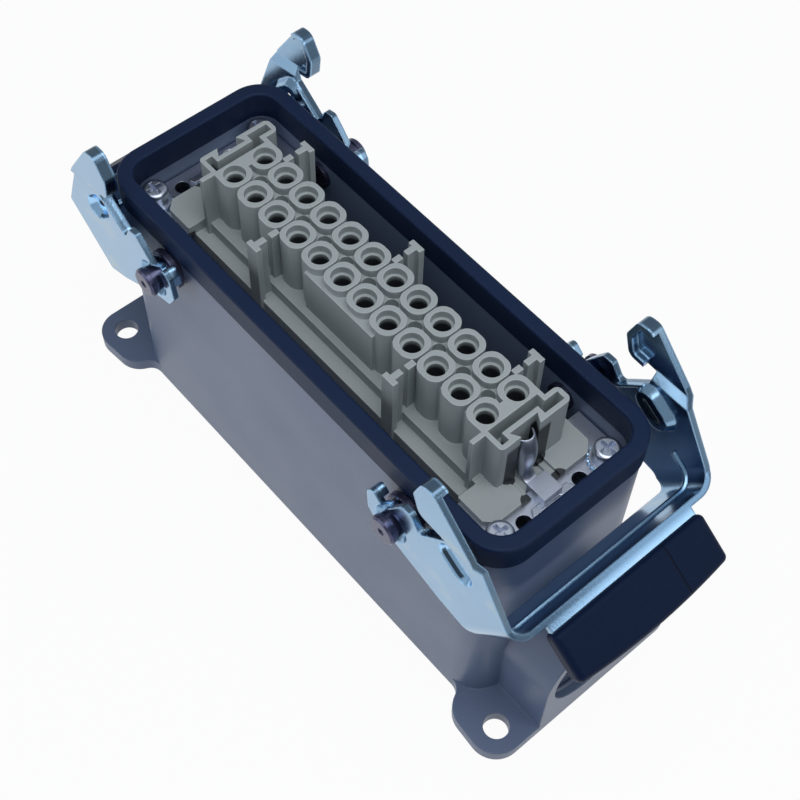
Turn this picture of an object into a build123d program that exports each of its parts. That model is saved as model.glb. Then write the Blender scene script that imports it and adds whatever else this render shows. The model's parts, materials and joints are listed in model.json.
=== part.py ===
from build123d import *

# Heavy duty rectangular connector: a cast surface mounting housing with two locking levers and a
# 24-way female insert. Millimetres, +Z up, X along the housing. The origin is the middle of the
# base, on the mounting surface. The near end is +X, where the cable enters.
import os
from math import cos, radians, sin, sqrt

os.makedirs("parts", exist_ok=True)

# Insert body: contact towers in two rows
pitch = 6.65
poles = 12
row_y = 3.75
tower_x = 6.3
tower_y = 6.6
tower_corner = 2.5
tower_height = 15.0
deck_drop = 2.0
core_half_y = 5.4
panel_y = 7.7
step_height = 3.0
step_half_y = 9.2
flange_drop = 1.0
flange_ledge = 2.8
body_depth = 22.5
mouth_radius = 2.3
mouth_depth = 1.8
contact_bore_radius = 1.75
terminal_bore_radius = 2.6
terminal_depth = 8.0
deck_hole_radius = 1.4
deck_hole_depth = 3.0

# Ends of the insert body
end_length = 7.625
end_half_y = 7.0
end_wall = 0.95
trough = 1.9
channel_depth = 1.9
channel_half_y = 3.4
channel_mouth_y = 2.35
wing_y = 10.2
wing_corner = 1.2
end_corner = 0.9
pocket_depth = 6.0
step_back = 1.4
body_beyond_end = 3.2
fin_beyond_last = 2.825
fin_y = 9.9
fin_thickness = 1.0
pad_beyond_end = 5.2
pad_inner_y = 4.2
pad_overhang = 1.4
pad_height = 1.7
pad_corner = 2.0
pad_step = 1.2
pad_step_height = 0.8
pad_screw_gap = 0.3

# Guide posts beside the towers, counted in pitches from the middle
post_near_pitches = 3
post_far_pitches = 5
post_overhang = 0.5
post_bar_x = 3.2
post_bar_y = 1.2
post_web_x = 1.3
post_web_y = 2.1
post_drop = 0.2

# Insert fixing: earth plates on four pillars
fixing_beyond_end = 7.8
fixing_beyond_flange = 1.5
pillar_size = 8.5
plate_drop = 3.9
plate_thickness = 1.5
plate_gap = 0.3
plate_fork = 10.8
plate_hole_back = 0.05
plate_hole_y = 7.1
plate_hole_radius = 1.6

# Housing
end_room = 6.5
side_room = 7.2
housing_corner = 7.5
housing_wall = 3.0
floor_thickness = 3.2
rim_z = 59.4
tongue_height = 3.4
tongue_thickness = 1.4

# Mounting flanges, one at each end of the base, with two holes each
hole_beyond_end = 6.5
hole_beyond_side = 0.05
hole_radius = 2.75
ear_radius = 5.9
ear_reach = 5.0
ear_inset = 0.4
ear_thickness = 3.2
ear_blend = 3.2

# Cable entry boss on the near end wall
boss_half_width = 14.2
boss_axis_z = 18.6
entry_radius = 12.0

# Rim seal
seal_height = 6.3
seal_overhang = 0.35
seal_thickness = 3.4
seal_edge = 0.6
groove_gap = 0.1

# Contacts and their clamping screws
contact_radius = 1.7
contact_drop = 6.5
socket_radius = 1.25
socket_depth = 12.0
head_radius = 2.5
head_lift = 1.2
wire_radius = 1.5
wire_depth = 5.0
clamp_radius = 1.4
clamp_gap = 0.05
clamp_lift = 4.0
clamp_sink = 0.8

# Earth spring contacts, their clamps and the clamps' screws
spring_back = 1.5
spring_radius = 2.1
spring_sheet = 0.5
spring_drop = 2.5
foot_half_y = 1.3
foot_reach = 6.0
clamp_start = 4.5
clamp_end = 9.2
clamp_half_y = 2.3
clamp_height = 2.5
earth_screw_from_spring = 7.5
earth_screw_radius = 1.2
earth_screw_reach = 1.9
earth_head_radius = 2.2
earth_head_height = 2.0

# Captive screws of the insert
screw_shank_radius = 1.9
screw_length = 11.0
screw_tip_room = 2.0
screw_hole_gap = 0.3
washer_radius = 3.2
washer_height = 0.9
screw_head_radius = 2.75
screw_head_height = 3.6
screw_head_round = 0.9
recess_length = 3.4
recess_width = 0.9
recess_depth = 1.6
thread_gap = 0.05

# Pivot pins in the long walls
pivot_from_end = 22.0
pivot_drop = 4.1
pin_radius = 2.75
pin_hole_gap = 0.03
pin_shoulder_radius = 3.8
pin_collar_radius = 4.5
pin_neck_length = 1.1
pin_head_radius = 3.15
pin_head_length = 1.35
pin_head_edge = 0.4
pin_rivet_radius = 3.0
pin_rivet_length = 0.9
pin_dimple_radius = 0.9
pin_dimple_depth = 0.8

# Lever bows of folded sheet, in the frame of their pivot: U away from the middle, W up
sheet = 1.3
arm_stand_off = 4.9
arm_side_gap = 0.25
arm_bore_gap = 0.08
dish_radius = 4.3
dish_depth = 1.4
joggle = 1.1
joggle_low = 14.6
joggle_high = 16.2
joggle_ease = 0.4
bar_angle = 55.0
bar_clearance = 3.2
bar_low = 8.6
bar_high = 19.5
bend_radius = 4.6
bead_at = 13.5
bead_radius = 0.6
bead_reach = 7.0
lip_inset = 7.4
lip_reach = 9.3
hook_flange = 2.7
jaw_flange = 2.1
tail_flange = 2.7
view_round = 1.0
hook_round = 2.0
slot_u = 16.6
slot_w = 8.9
slot_angle = -33.7
slot_length = 5.4
slot_width = 1.1
detent_length = 10.6
detent_width = 7.0
detent_depth = 1.7
detent_taper = 30.0
far_lever_opening = 11.0

# Grips on the crossbars
grip_inset = 6.6
grip_stand_off = 1.6
grip_depth = 10.3
grip_bow = 1.2
grip_thickness = 4.1
grip_round = 1.3
grip_gap = 0.05

# Levels, from the rim down to the earth plates and up and down the insert
plate_top_z = rim_z - plate_drop
pillar_top_z = plate_top_z - plate_thickness
flange_z = plate_top_z - flange_drop
step_z = flange_z + step_height
tower_top_z = plate_top_z + tower_height
deck_z = tower_top_z - deck_drop
body_bottom_z = flange_z - body_depth
terminal_top_z = body_bottom_z + terminal_depth
contact_top_z = tower_top_z - contact_drop
head_bottom_z = body_bottom_z + head_lift
clamp_z = body_bottom_z + clamp_lift
spring_top_z = tower_top_z - spring_drop
pivot_z = rim_z - pivot_drop

# Plan of the insert, from its towers outwards
contact_xs = [(i - (poles - 1) / 2) * pitch for i in range(poles)]
contact_places = [(x, y) for y in (-row_y, row_y) for x in contact_xs]
deck_places = [((i - (poles - 2) / 2) * pitch, 0) for i in range(poles - 1)]
last_x = contact_xs[-1]
end_half_x = last_x + end_length
channel_x = end_half_x - channel_depth
step_half_x = channel_x - step_back
body_half_x = end_half_x + body_beyond_end
flange_half_y = step_half_y + flange_ledge
fin_x = last_x + fin_beyond_last
pad_outer_x = end_half_x + pad_beyond_end
pad_outer_y = flange_half_y + pad_overhang
post_outer_y = flange_half_y + post_overhang
fixing_x = 2 * (end_half_x + fixing_beyond_end)
fixing_y = 2 * (flange_half_y + fixing_beyond_flange)
plate_inner_x = fixing_x / 2 - plate_fork
plate_hole_x = fixing_x / 2 - plate_hole_back
spring_x = end_half_x - spring_back
foot_end_x = spring_x + foot_reach
clamp_inner_x = spring_x + clamp_start
clamp_outer_x = spring_x + clamp_end
earth_screw_x = spring_x + earth_screw_from_spring

# Plan of the housing, round the insert's fixing
housing_length = fixing_x + 2 * end_room
housing_width = fixing_y + 2 * side_room
half_length = housing_length / 2
half_width = housing_width / 2
inner_length = housing_length - 2 * housing_wall
inner_width = housing_width - 2 * housing_wall
inner_corner = housing_corner - housing_wall
hole_spacing_x = housing_length + 2 * hole_beyond_end
hole_spacing_y = housing_width + 2 * hole_beyond_side
flange_end_x = hole_spacing_x / 2 + ear_radius
pillar_inner_x = (fixing_x - pillar_size) / 2
pillar_inner_y = (fixing_y - pillar_size) / 2
plate_half_x = inner_length / 2 - plate_gap
plate_half_y = inner_width / 2 - plate_gap
tongue_edge = (housing_wall - tongue_thickness) / 2

# Levers and grips, round the housing
pivot_x = half_length - pivot_from_end
arm_outer_y = half_width + arm_stand_off
arm_inner_y = arm_outer_y - sheet
hook_outer_y = arm_outer_y + joggle
hook_inner_y = hook_outer_y - sheet
bar_inner = pivot_from_end + bar_clearance
lip_half_y = arm_outer_y - lip_inset
grip_half_y = arm_outer_y - grip_inset
grip_start = bar_inner + sheet + grip_stand_off
grip_end = grip_start + grip_depth
UP = (Align.CENTER, Align.CENTER, Align.MIN)
DOWN = (Align.CENTER, Align.CENTER, Align.MAX)


def save(piece, name):
    """Label a finished piece and write its STEP file."""
    piece.label = name
    export_step(piece, f"parts/{name}.step")


def span(x0, x1, y0, y1, mode=Mode.ADD):
    """A rectangle of the current sketch, from its limits."""
    with Locations(((x0 + x1) / 2, (y0 + y1) / 2)):
        Rectangle(abs(x1 - x0), abs(y1 - y0), mode=mode)


def outline(grow, mode=Mode.ADD):
    """The housing's plan outline, grown or shrunk by a distance."""
    RectangleRounded(housing_length + 2 * grow, housing_width + 2 * grow, housing_corner + grow, mode=mode)


def flange_plan(side):
    """The plan of one end's mounting flange: a hull round its holes, blended into the long sides."""
    hole_x = side * hole_spacing_x / 2
    hole_y = hole_spacing_y / 2
    root_x = hole_x - side * ear_reach
    root_y = hole_y - ear_inset
    blend_y = half_width + ear_blend
    blend_x = root_x - side * sqrt((ear_radius + ear_blend) ** 2 - (blend_y - root_y) ** 2)
    with BuildSketch() as webs:
        for across in (1, -1):
            with BuildLine():
                Polyline((blend_x, 0), (blend_x, across * blend_y), (root_x, across * root_y), (root_x, 0),
                         close=True)
            make_face()
        with Locations((blend_x, blend_y), (blend_x, -blend_y)):
            Circle(ear_blend, mode=Mode.SUBTRACT)
    with BuildSketch() as plan:
        with Locations((hole_x, hole_y), (hole_x, -hole_y), (root_x, root_y), (root_x, -root_y)):
            Circle(ear_radius)
        make_hull()
        add(webs.sketch)
    return plan.sketch


def make_housing():
    """The casting: a deep open box with flanges, a cable boss, screw pillars and a rim tongue."""
    flanges = [flange_plan(1), flange_plan(-1)]
    with BuildPart() as housing:
        with BuildSketch():
            outline(0)
            add(flanges)
        extrude(amount=ear_thickness)
        with BuildSketch():
            outline(0)
        extrude(amount=rim_z)
        with BuildSketch(Plane.YZ.offset(half_length - housing_wall)):
            with Locations((0, boss_axis_z)):
                Circle(boss_half_width)
            span(-boss_half_width, boss_half_width, 0, boss_axis_z)
        extrude(amount=flange_end_x - half_length + housing_wall)
        # Cavity, with a pillar for a captive screw in each corner
        with BuildSketch(Plane.XY.offset(floor_thickness)):
            outline(-housing_wall)
        extrude(amount=rim_z, mode=Mode.SUBTRACT)
        with BuildSketch(Plane.XY.offset(floor_thickness)):
            outline(-housing_wall / 2)
            span(-pillar_inner_x, pillar_inner_x, -housing_width, housing_width, Mode.SUBTRACT)
            span(-housing_length, housing_length, -pillar_inner_y, pillar_inner_y, Mode.SUBTRACT)
        extrude(amount=pillar_top_z - floor_thickness)
        with Locations(Plane.XY.offset(pillar_top_z)):
            with GridLocations(fixing_x, fixing_y, 2, 2):
                Hole(screw_shank_radius + thread_gap, depth=screw_length - plate_thickness + screw_tip_room)
        # Tongue that the seal is pressed over
        with BuildSketch(Plane.XY.offset(rim_z)):
            outline(-tongue_edge)
            outline(-tongue_edge - tongue_thickness, Mode.SUBTRACT)
        extrude(amount=tongue_height)
        with BuildSketch(Plane.YZ.offset(flange_end_x)):
            with Locations((0, boss_axis_z)):
                Circle(entry_radius)
        extrude(amount=inner_length / 2 - flange_end_x, mode=Mode.SUBTRACT)
        with Locations(Plane.XY.offset(ear_thickness)):
            with GridLocations(hole_spacing_x, hole_spacing_y, 2, 2):
                Hole(hole_radius, depth=ear_thickness)
        with BuildSketch(Plane.XZ.offset(-half_width)):
            with Locations((pivot_x, pivot_z), (-pivot_x, pivot_z)):
                Circle(pin_radius + pin_hole_gap)
        extrude(amount=housing_width, mode=Mode.SUBTRACT)
    return housing.part


def make_seal():
    """The rim seal: one rubber ring with a groove over the housing's tongue."""
    with BuildPart() as seal:
        with BuildSketch(Plane.XY.offset(rim_z)):
            outline(seal_overhang)
            outline(seal_overhang - seal_thickness, Mode.SUBTRACT)
        extrude(amount=seal_height)
        fillet(seal.faces().sort_by(Axis.Z)[-1].edges(), seal_edge)
        with BuildSketch(Plane.XY.offset(rim_z)):
            outline(groove_gap - tongue_edge)
            outline(-tongue_edge - tongue_thickness - groove_gap, Mode.SUBTRACT)
        extrude(amount=tongue_height + groove_gap, mode=Mode.SUBTRACT)
    return seal.part


def make_insert():
    """The moulded body: towers on a stepped flange, end channels, pads and guide posts."""
    with BuildPart() as body:
        with BuildSketch(Plane.XY.offset(body_bottom_z)):
            Rectangle(2 * body_half_x, 2 * flange_half_y)
        extrude(amount=flange_z - body_bottom_z)
        with BuildSketch(Plane.XY.offset(flange_z)):
            Rectangle(2 * step_half_x, 2 * step_half_y)
        extrude(amount=step_z - flange_z)
        with BuildSketch(Plane.XY.offset(step_z)):
            Rectangle(2 * last_x, 2 * core_half_y)
            span(-1.5 * pitch, 1.5 * pitch, -panel_y, 0)
        extrude(amount=deck_z - step_z)
        with BuildSketch(Plane.XY.offset(step_z)):
            with Locations(*contact_places):
                RectangleRounded(tower_x, tower_y, tower_corner)
        extrude(amount=tower_top_z - step_z)
        for side in (1, -1):
            end_walls(side)
            end_pads(side)
        guide_posts([-post_near_pitches * pitch, post_near_pitches * pitch], -1)
        guide_posts([-post_far_pitches * pitch, 0, post_far_pitches * pitch], 1)
        # Contact bores, with a wide mouth above and a terminal chamber below
        drill(tower_top_z, mouth_depth, mouth_radius, contact_places)
        drill(tower_top_z, tower_top_z - body_bottom_z, contact_bore_radius, contact_places)
        drill(terminal_top_z, terminal_top_z - body_bottom_z, terminal_bore_radius, contact_places)
        drill(deck_z, deck_hole_depth, deck_hole_radius, deck_places)
        for across in (1, -1):
            with BuildSketch(Plane.XZ.offset(across * flange_half_y)):
                with Locations(*[(x, clamp_z) for x in contact_xs]):
                    Circle(clamp_radius + clamp_gap)
            extrude(amount=-across * (flange_half_y - row_y), mode=Mode.SUBTRACT)
    return body.part


def drill(top_z, depth, radius, places):
    """Round holes from a level down, cut from the part in work."""
    with BuildSketch(Plane.XY.offset(top_z)) as holes:
        with Locations(*places):
            Circle(radius)
    extrude(holes.sketch, amount=-depth, mode=Mode.SUBTRACT)


def end_walls(side):
    """One end of the towers: a dovetail channel for the earth spring, a trough, a wing and a fin."""
    mid_x = channel_x - end_wall
    outer_x = end_half_x - end_wall
    with BuildSketch(Plane.XY.offset(flange_z)) as plan:
        span(side * last_x, side * end_half_x, -end_half_y, end_half_y)
        span(side * (mid_x - end_wall), side * end_half_x, 0, wing_y)
        fillet(plan.vertices().filter_by_position(Axis.Y, wing_y - 0.1, wing_y + 0.1), wing_corner)
        corner = [v for v in plan.vertices().group_by(Axis.Y)[0] if abs(v.X) > channel_x]
        fillet(corner, end_corner)
        with BuildLine():
            Polyline((side * channel_x, channel_half_y), (side * channel_x, -channel_half_y),
                     (side * end_half_x, -channel_mouth_y), (side * end_half_x, channel_mouth_y), close=True)
        make_face(mode=Mode.SUBTRACT)
        span(side * (fin_x - fin_thickness / 2), side * (fin_x + fin_thickness / 2), -fin_y, -end_half_y)
    extrude(plan.sketch, amount=tower_top_z - flange_z)
    with BuildSketch(Plane.XY.offset(tower_top_z)) as pockets:
        pocket_y = end_half_y - end_wall
        beside = channel_half_y + end_wall
        span(side * (mid_x - trough), side * mid_x, -pocket_y, pocket_y)
        span(side * mid_x, side * outer_x, -pocket_y, -beside)
        span(side * mid_x, side * outer_x, beside, wing_y - end_wall)
    extrude(pockets.sketch, amount=-pocket_depth, mode=Mode.SUBTRACT)


def end_pads(side):
    """The flange's end on the earth plate: two pads, cut back round the captive screws."""
    with BuildSketch(Plane.XY.offset(flange_z)) as root:
        span(side * step_half_x, side * body_half_x, -flange_half_y, flange_half_y)
    extrude(root.sketch, amount=plate_top_z - flange_z)
    with BuildSketch(Plane.XY.offset(plate_top_z)) as pads:
        for across in (1, -1):
            span(side * step_half_x, side * pad_outer_x, across * pad_inner_y, across * pad_outer_y)
        corners = pads.vertices().group_by(Axis.X)[-1 if side > 0 else 0]
        chamfer([v for v in corners if abs(v.Y) > pad_outer_y - pad_corner], pad_corner)
        with Locations((side * fixing_x / 2, fixing_y / 2), (side * fixing_x / 2, -fixing_y / 2)):
            Circle(washer_radius + pad_screw_gap, mode=Mode.SUBTRACT)
    extrude(pads.sketch, amount=pad_height)
    with BuildSketch(Plane.XY.offset(plate_top_z)) as steps:
        for across in (1, -1):
            span(side * step_half_x, side * pad_outer_x, across * (pad_inner_y - pad_step), across * pad_inner_y)
    extrude(steps.sketch, amount=pad_step_height)


def guide_posts(places, across):
    """T-shaped posts at one side of the towers, each facing a small fin on its tower."""
    bar_y = post_outer_y - post_bar_y
    tower_side = row_y + tower_y / 2
    with BuildSketch(Plane.XY.offset(flange_z)) as bars:
        for x in places:
            span(x - post_bar_x / 2, x + post_bar_x / 2, across * bar_y, across * post_outer_y)
    with BuildSketch(Plane.XY.offset(flange_z)) as webs:
        for x in places:
            span(x - post_web_x / 2, x + post_web_x / 2, across * (bar_y - post_web_y), across * bar_y)
            span(x - post_web_x / 2, x + post_web_x / 2, across * (tower_side - 1), across * (tower_side + 1))
    extrude(bars.sketch.faces() + webs.sketch.faces(), amount=tower_top_z - post_drop - flange_z)
    # The posts' outer bars run down the side of the flange
    extrude(bars.sketch.faces(), amount=-post_bar_x)


def make_contact(x, y):
    """A turned female contact with its terminal head, on its own axis."""
    across = 1 if y > 0 else -1
    with BuildPart() as contact:
        with Locations((x, y, terminal_top_z)):
            Cylinder(contact_radius, contact_top_z - terminal_top_z, align=UP)
        with Locations((x, y, head_bottom_z)):
            Cylinder(head_radius, terminal_top_z - head_bottom_z, align=UP)
            Cylinder(wire_radius, wire_depth, align=UP, mode=Mode.SUBTRACT)
        with Locations((x, y, contact_top_z)):
            Cylinder(socket_radius, socket_depth, align=DOWN, mode=Mode.SUBTRACT)
        with BuildSketch(Plane.XZ.offset(-y)):
            with Locations((x, clamp_z)):
                Circle(clamp_radius)
        extrude(amount=-across * head_radius, mode=Mode.SUBTRACT)
    return contact.part


def make_clamp_screws():
    """The wire clamping screws of all contacts, one in each terminal head."""
    start = row_y + wire_radius
    with BuildPart() as screws:
        for across in (1, -1):
            with BuildSketch(Plane.XZ.offset(-across * start)):
                with Locations(*[(x, clamp_z) for x in contact_xs]):
                    Circle(clamp_radius - thread_gap)
            extrude(amount=-across * (flange_half_y - clamp_sink - start))
    return screws.part


def make_earth_plate(side):
    """A metal plate on two pillars, forked round the insert body and under its pads."""
    with BuildPart() as plate:
        with BuildSketch(Plane.XY.offset(pillar_top_z)) as plan:
            span(side * plate_inner_x, side * plate_half_x, -plate_half_y, plate_half_y)
            fillet(plan.vertices().group_by(Axis.X)[-1 if side > 0 else 0], inner_corner - plate_gap)
            span(side * plate_inner_x, side * (body_half_x + plate_gap), -flange_half_y - plate_gap,
                 flange_half_y + plate_gap, Mode.SUBTRACT)
            with Locations((side * fixing_x / 2, fixing_y / 2), (side * fixing_x / 2, -fixing_y / 2)):
                Circle(screw_shank_radius + screw_hole_gap, mode=Mode.SUBTRACT)
            with Locations((side * plate_hole_x, plate_hole_y), (side * plate_hole_x, -plate_hole_y)):
                Circle(plate_hole_radius, mode=Mode.SUBTRACT)
            with Locations((side * earth_screw_x, 0)):
                Circle(earth_screw_radius + thread_gap, mode=Mode.SUBTRACT)
        extrude(amount=plate_thickness)
    return plate.part


def make_earth_spring(side):
    """A half tube before the body's end channel, on a flat foot that the clamp holds."""
    with BuildPart() as spring:
        with BuildSketch(Plane.XY.offset(plate_top_z)):
            with Locations((side * spring_x, 0)):
                Circle(spring_radius)
                Circle(spring_radius - spring_sheet, mode=Mode.SUBTRACT)
            span(side * (spring_x - spring_radius), side * spring_x, -spring_radius, spring_radius,
                 Mode.SUBTRACT)
        extrude(amount=spring_top_z - plate_top_z)
        with BuildSketch(Plane.XY.offset(plate_top_z)):
            span(side * (spring_x + spring_radius - spring_sheet), side * foot_end_x, -foot_half_y, foot_half_y)
        extrude(amount=spring_sheet)
    return spring.part


def make_earth_clamp(side):
    """The clamp over the spring's foot, with a blind thread for its screw."""
    with BuildPart() as clamp:
        with BuildSketch(Plane.XY.offset(plate_top_z)):
            span(side * clamp_inner_x, side * clamp_outer_x, -clamp_half_y, clamp_half_y)
        extrude(amount=clamp_height)
        with BuildSketch(Plane.XY.offset(plate_top_z)):
            span(side * clamp_inner_x, side * (foot_end_x + thread_gap), -foot_half_y - thread_gap,
                 foot_half_y + thread_gap)
        extrude(amount=spring_sheet, mode=Mode.SUBTRACT)
        with BuildSketch(Plane.XY.offset(plate_top_z)):
            with Locations((side * earth_screw_x, 0)):
                Circle(earth_screw_radius + thread_gap)
        extrude(amount=earth_screw_reach, mode=Mode.SUBTRACT)
    return clamp.part


def make_earth_screws():
    """The two earth wire screws, up through the plates into the clamps."""
    with BuildPart() as screws:
        with Locations((earth_screw_x, 0, pillar_top_z), (-earth_screw_x, 0, pillar_top_z)):
            Cylinder(earth_head_radius, earth_head_height, align=DOWN)
            Cylinder(earth_screw_radius, plate_thickness + earth_screw_reach, align=UP)
    return screws.part


def make_captive_screws():
    """Four cross-recessed screws with spring washers, through the plates into the pillars."""
    head_z = plate_top_z + washer_height
    with BuildPart() as screws:
        with Locations(Plane.XY.offset(head_z)):
            with GridLocations(fixing_x, fixing_y, 2, 2):
                Cylinder(screw_head_radius, screw_head_height, align=UP)
        fillet(screws.faces().group_by(Axis.Z)[-1].edges(), screw_head_round)
        with Locations(Plane.XY.offset(head_z)):
            with GridLocations(fixing_x, fixing_y, 2, 2):
                Cylinder(washer_radius, washer_height, align=DOWN)
                Cylinder(screw_shank_radius, washer_height + screw_length, align=DOWN)
        with Locations(Plane.XY.offset(head_z + screw_head_height)):
            with GridLocations(fixing_x, fixing_y, 2, 2):
                Box(recess_length, recess_width, recess_depth, align=DOWN, mode=Mode.SUBTRACT)
                Box(recess_width, recess_length, recess_depth, align=DOWN, mode=Mode.SUBTRACT)
    return screws.part


def make_pin(side, across):
    """A turned pivot pin, riveted in the long wall, with a collar, a neck and a head."""
    inside = half_width - housing_wall
    collar_end = arm_inner_y - dish_depth - arm_side_gap
    head_start = arm_outer_y + pin_neck_length
    head_end = head_start + pin_head_length
    shoulder_end = half_width + seal_overhang + arm_side_gap
    steps = [(0, inside - pin_rivet_length), (pin_rivet_radius, inside - pin_rivet_length),
             (pin_rivet_radius, inside), (pin_radius, inside), (pin_radius, half_width),
             (pin_shoulder_radius, half_width), (pin_shoulder_radius, shoulder_end),
             (pin_collar_radius, shoulder_end), (pin_collar_radius, collar_end), (pin_radius, collar_end),
             (pin_radius, head_start), (pin_head_radius, head_start),
             (pin_head_radius, head_end - pin_head_edge), (pin_head_radius - pin_head_edge, head_end),
             (pin_dimple_radius, head_end), (0, head_end - pin_dimple_depth)]
    with BuildPart() as pin:
        with BuildSketch(Plane((side * pivot_x, 0, pivot_z))):
            with BuildLine():
                Polyline(*[(radius, across * y) for radius, y in steps], close=True)
            make_face()
        revolve(axis=Axis((side * pivot_x, 0, pivot_z), (0, 1, 0)))
    return pin.part


def bar_point(along, up):
    """A point of the lever's side view, by its distance across and its place up the crossbar."""
    angle = radians(bar_angle)
    return (along * sin(angle) + up * cos(angle), -along * cos(angle) + up * sin(angle))


def bar_plane(up):
    """The plane across the crossbar at a place up it: X outwards, Y along the bar."""
    u, w = bar_point(0, up)
    out_u, out_w = bar_point(1, 0)
    up_u, up_w = bar_point(0, 1)
    return Plane((u, 0, w), x_dir=(out_u, 0, out_w), z_dir=(up_u, 0, up_w))


def side_plane(y):
    """The plane of the lever's side view at a place across it."""
    return Plane.XZ.offset(-y)


def arm_view():
    """The sketch of the lever's side view: tail, jaw, broad arm and crossbar edge."""
    notch = (-2.1, 2.4)
    with BuildSketch() as view:
        with BuildLine():
            Polyline((0.8, -5.3), (13.9, -9.3), (21.4, -10.6), bar_point(bar_inner + sheet, bar_low),
                     bar_point(bar_inner + sheet, bar_high), (30.3, 2.9), (22.8, joggle_low),
                     (13.8, joggle_low), (13.6, 13.2), (9.6, 8.9), (7.4, 6.4), (4.9, 9.9), (2.6, 9.9), (0.9, 7.4),
                     notch, (-5.4, 5.4), (-6.8, 3.2), (-6.4, -2.0), (-3.8, -4.8), close=True)
        make_face()
        rounded = view.vertices().filter_by_position(Axis.X, -7, 10)
        fillet([v for v in rounded if v.X != notch[0]], view_round)
    return view.sketch_local


def hook_view():
    """The sketch of the hook's side view, above the joggle."""
    with BuildSketch() as view:
        with BuildLine():
            Polyline((13.8, joggle_low), (22.8, joggle_low), (20.4, 17.8), (11.2, 26.9), (8.2, 26.6), (6.4, 21.5),
                     (8.0, 16.6), (13.8, 16.4), close=True)
        make_face()
        fillet(view.vertices().filter_by_position(Axis.X, 5, 13), hook_round)
    return view.sketch_local


def make_hook(across):
    """One arm's hook: the sheet set outwards by a joggle, with a flange round the hook's edge."""
    view = hook_view()
    top = 2 * joggle_high
    section = [(arm_inner_y, joggle_low), (arm_outer_y, joggle_low), (hook_outer_y, joggle_high),
               (hook_outer_y, top), (hook_inner_y, top), (hook_inner_y, joggle_high + joggle_ease)]
    with BuildPart() as hook:
        with BuildSketch(Plane.YZ):
            with BuildLine():
                Polyline(*[(across * y, w) for y, w in section], close=True)
            make_face()
        extrude(amount=top)
        with BuildSketch(side_plane(hook_outer_y)):
            add(view)
        extrude(amount=2 * hook_outer_y, mode=Mode.INTERSECT)
        with BuildSketch(side_plane(across * hook_outer_y)):
            add(view)
            offset(amount=-sheet, mode=Mode.SUBTRACT)
            with BuildLine():
                Polyline((11.6, 15.0), (11.6, 18.9), (9.8, 22.0), (13.0, 28.0), (4.0, 28.0), (4.0, 15.0), close=True)
            make_face(mode=Mode.INTERSECT)
        extrude(amount=across * hook_flange)
    return hook.part


def make_bow():
    """The sheet bow: two arms and a crossbar folded from one strip, with hooks set outwards."""
    view = arm_view()
    hooks = [make_hook(1), make_hook(-1)]
    strip_end = -bar_inner
    with BuildPart() as bow:
        with BuildSketch(bar_plane(bar_inner)):
            with BuildLine():
                FilletPolyline((strip_end, arm_outer_y), (bar_inner + sheet, arm_outer_y),
                               (bar_inner + sheet, -arm_outer_y), (strip_end, -arm_outer_y),
                               radius=bend_radius)
                FilletPolyline((strip_end, arm_inner_y), (bar_inner, arm_inner_y), (bar_inner, -arm_inner_y),
                               (strip_end, -arm_inner_y), radius=bend_radius - sheet)
                Line((strip_end, arm_outer_y), (strip_end, arm_inner_y))
                Line((strip_end, -arm_outer_y), (strip_end, -arm_inner_y))
            make_face()
        extrude(amount=-2 * bar_inner)
        for across in (1, -1):
            # Flanges along the jaw and the tail: their inner outline, which the side view trims at the edge
            with BuildSketch(side_plane(across * arm_inner_y)):
                with BuildLine():
                    Polyline((13.0, 14.0), (13.0, 11.7), (9.4, 7.8), (7.4, 5.4), (7.4, 14.0), close=True)
                make_face()
            extrude(amount=across * (jaw_flange - sheet))
            with BuildSketch(side_plane(across * arm_inner_y)):
                with BuildLine():
                    Polyline((-7.0, 1.0), (-5.9, 1.0), (-5.5, 3.4), (-3.8, 3.1), (-3.0, 7.0), (-7.0, 7.0), close=True)
                make_face()
            extrude(amount=across * (tail_flange - sheet))
            # Dish round the pin's bore
            with BuildSketch(side_plane(across * arm_inner_y)):
                Circle(dish_radius)
            extrude(amount=across * dish_depth, taper=detent_taper)
            with BuildSketch(side_plane(across * arm_outer_y)):
                Circle(dish_radius)
            extrude(amount=across * dish_depth, taper=detent_taper, mode=Mode.SUBTRACT)
        with BuildSketch(side_plane(arm_outer_y)):
            add(view)
        extrude(amount=2 * arm_outer_y, mode=Mode.INTERSECT)
        add(hooks)
        for across in (1, -1):
            # Detent: an oblong pressed inwards, with a slot through it
            at_slot = Location((slot_u, slot_w, 0), (0, 0, slot_angle))
            with BuildSketch(side_plane(across * arm_inner_y)):
                with Locations(at_slot):
                    SlotOverall(detent_length, detent_width)
            extrude(amount=across * detent_depth, taper=detent_taper)
            with BuildSketch(side_plane(across * arm_outer_y)):
                with Locations(at_slot):
                    SlotOverall(detent_length - sheet, detent_width - sheet)
            extrude(amount=across * detent_depth, taper=detent_taper, mode=Mode.SUBTRACT)
        with BuildSketch(side_plane(arm_outer_y)):
            with Locations(at_slot):
                SlotOverall(slot_length, slot_width)
            Circle(pin_radius + arm_bore_gap)
        extrude(amount=2 * arm_outer_y, mode=Mode.SUBTRACT)
        # Lip that carries the grip
        with BuildSketch(bar_plane(bar_high)):
            span(bar_inner, bar_inner + lip_reach, -lip_half_y, lip_half_y)
        extrude(amount=-sheet)
        # Stiffening bead along the bar's inner face and round both bends
        bead_start = (bar_inner - bead_reach, arm_inner_y)
        with BuildLine(bar_plane(bead_at)) as path:
            FilletPolyline(bead_start, (bar_inner, arm_inner_y), (bar_inner, -arm_inner_y),
                           (bar_inner - bead_reach, -arm_inner_y), radius=bend_radius - sheet)
        with BuildSketch(Plane(path.line @ 0, z_dir=path.line % 0)):
            Circle(bead_radius)
        sweep(path=path.line)
    return bow.part


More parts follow.
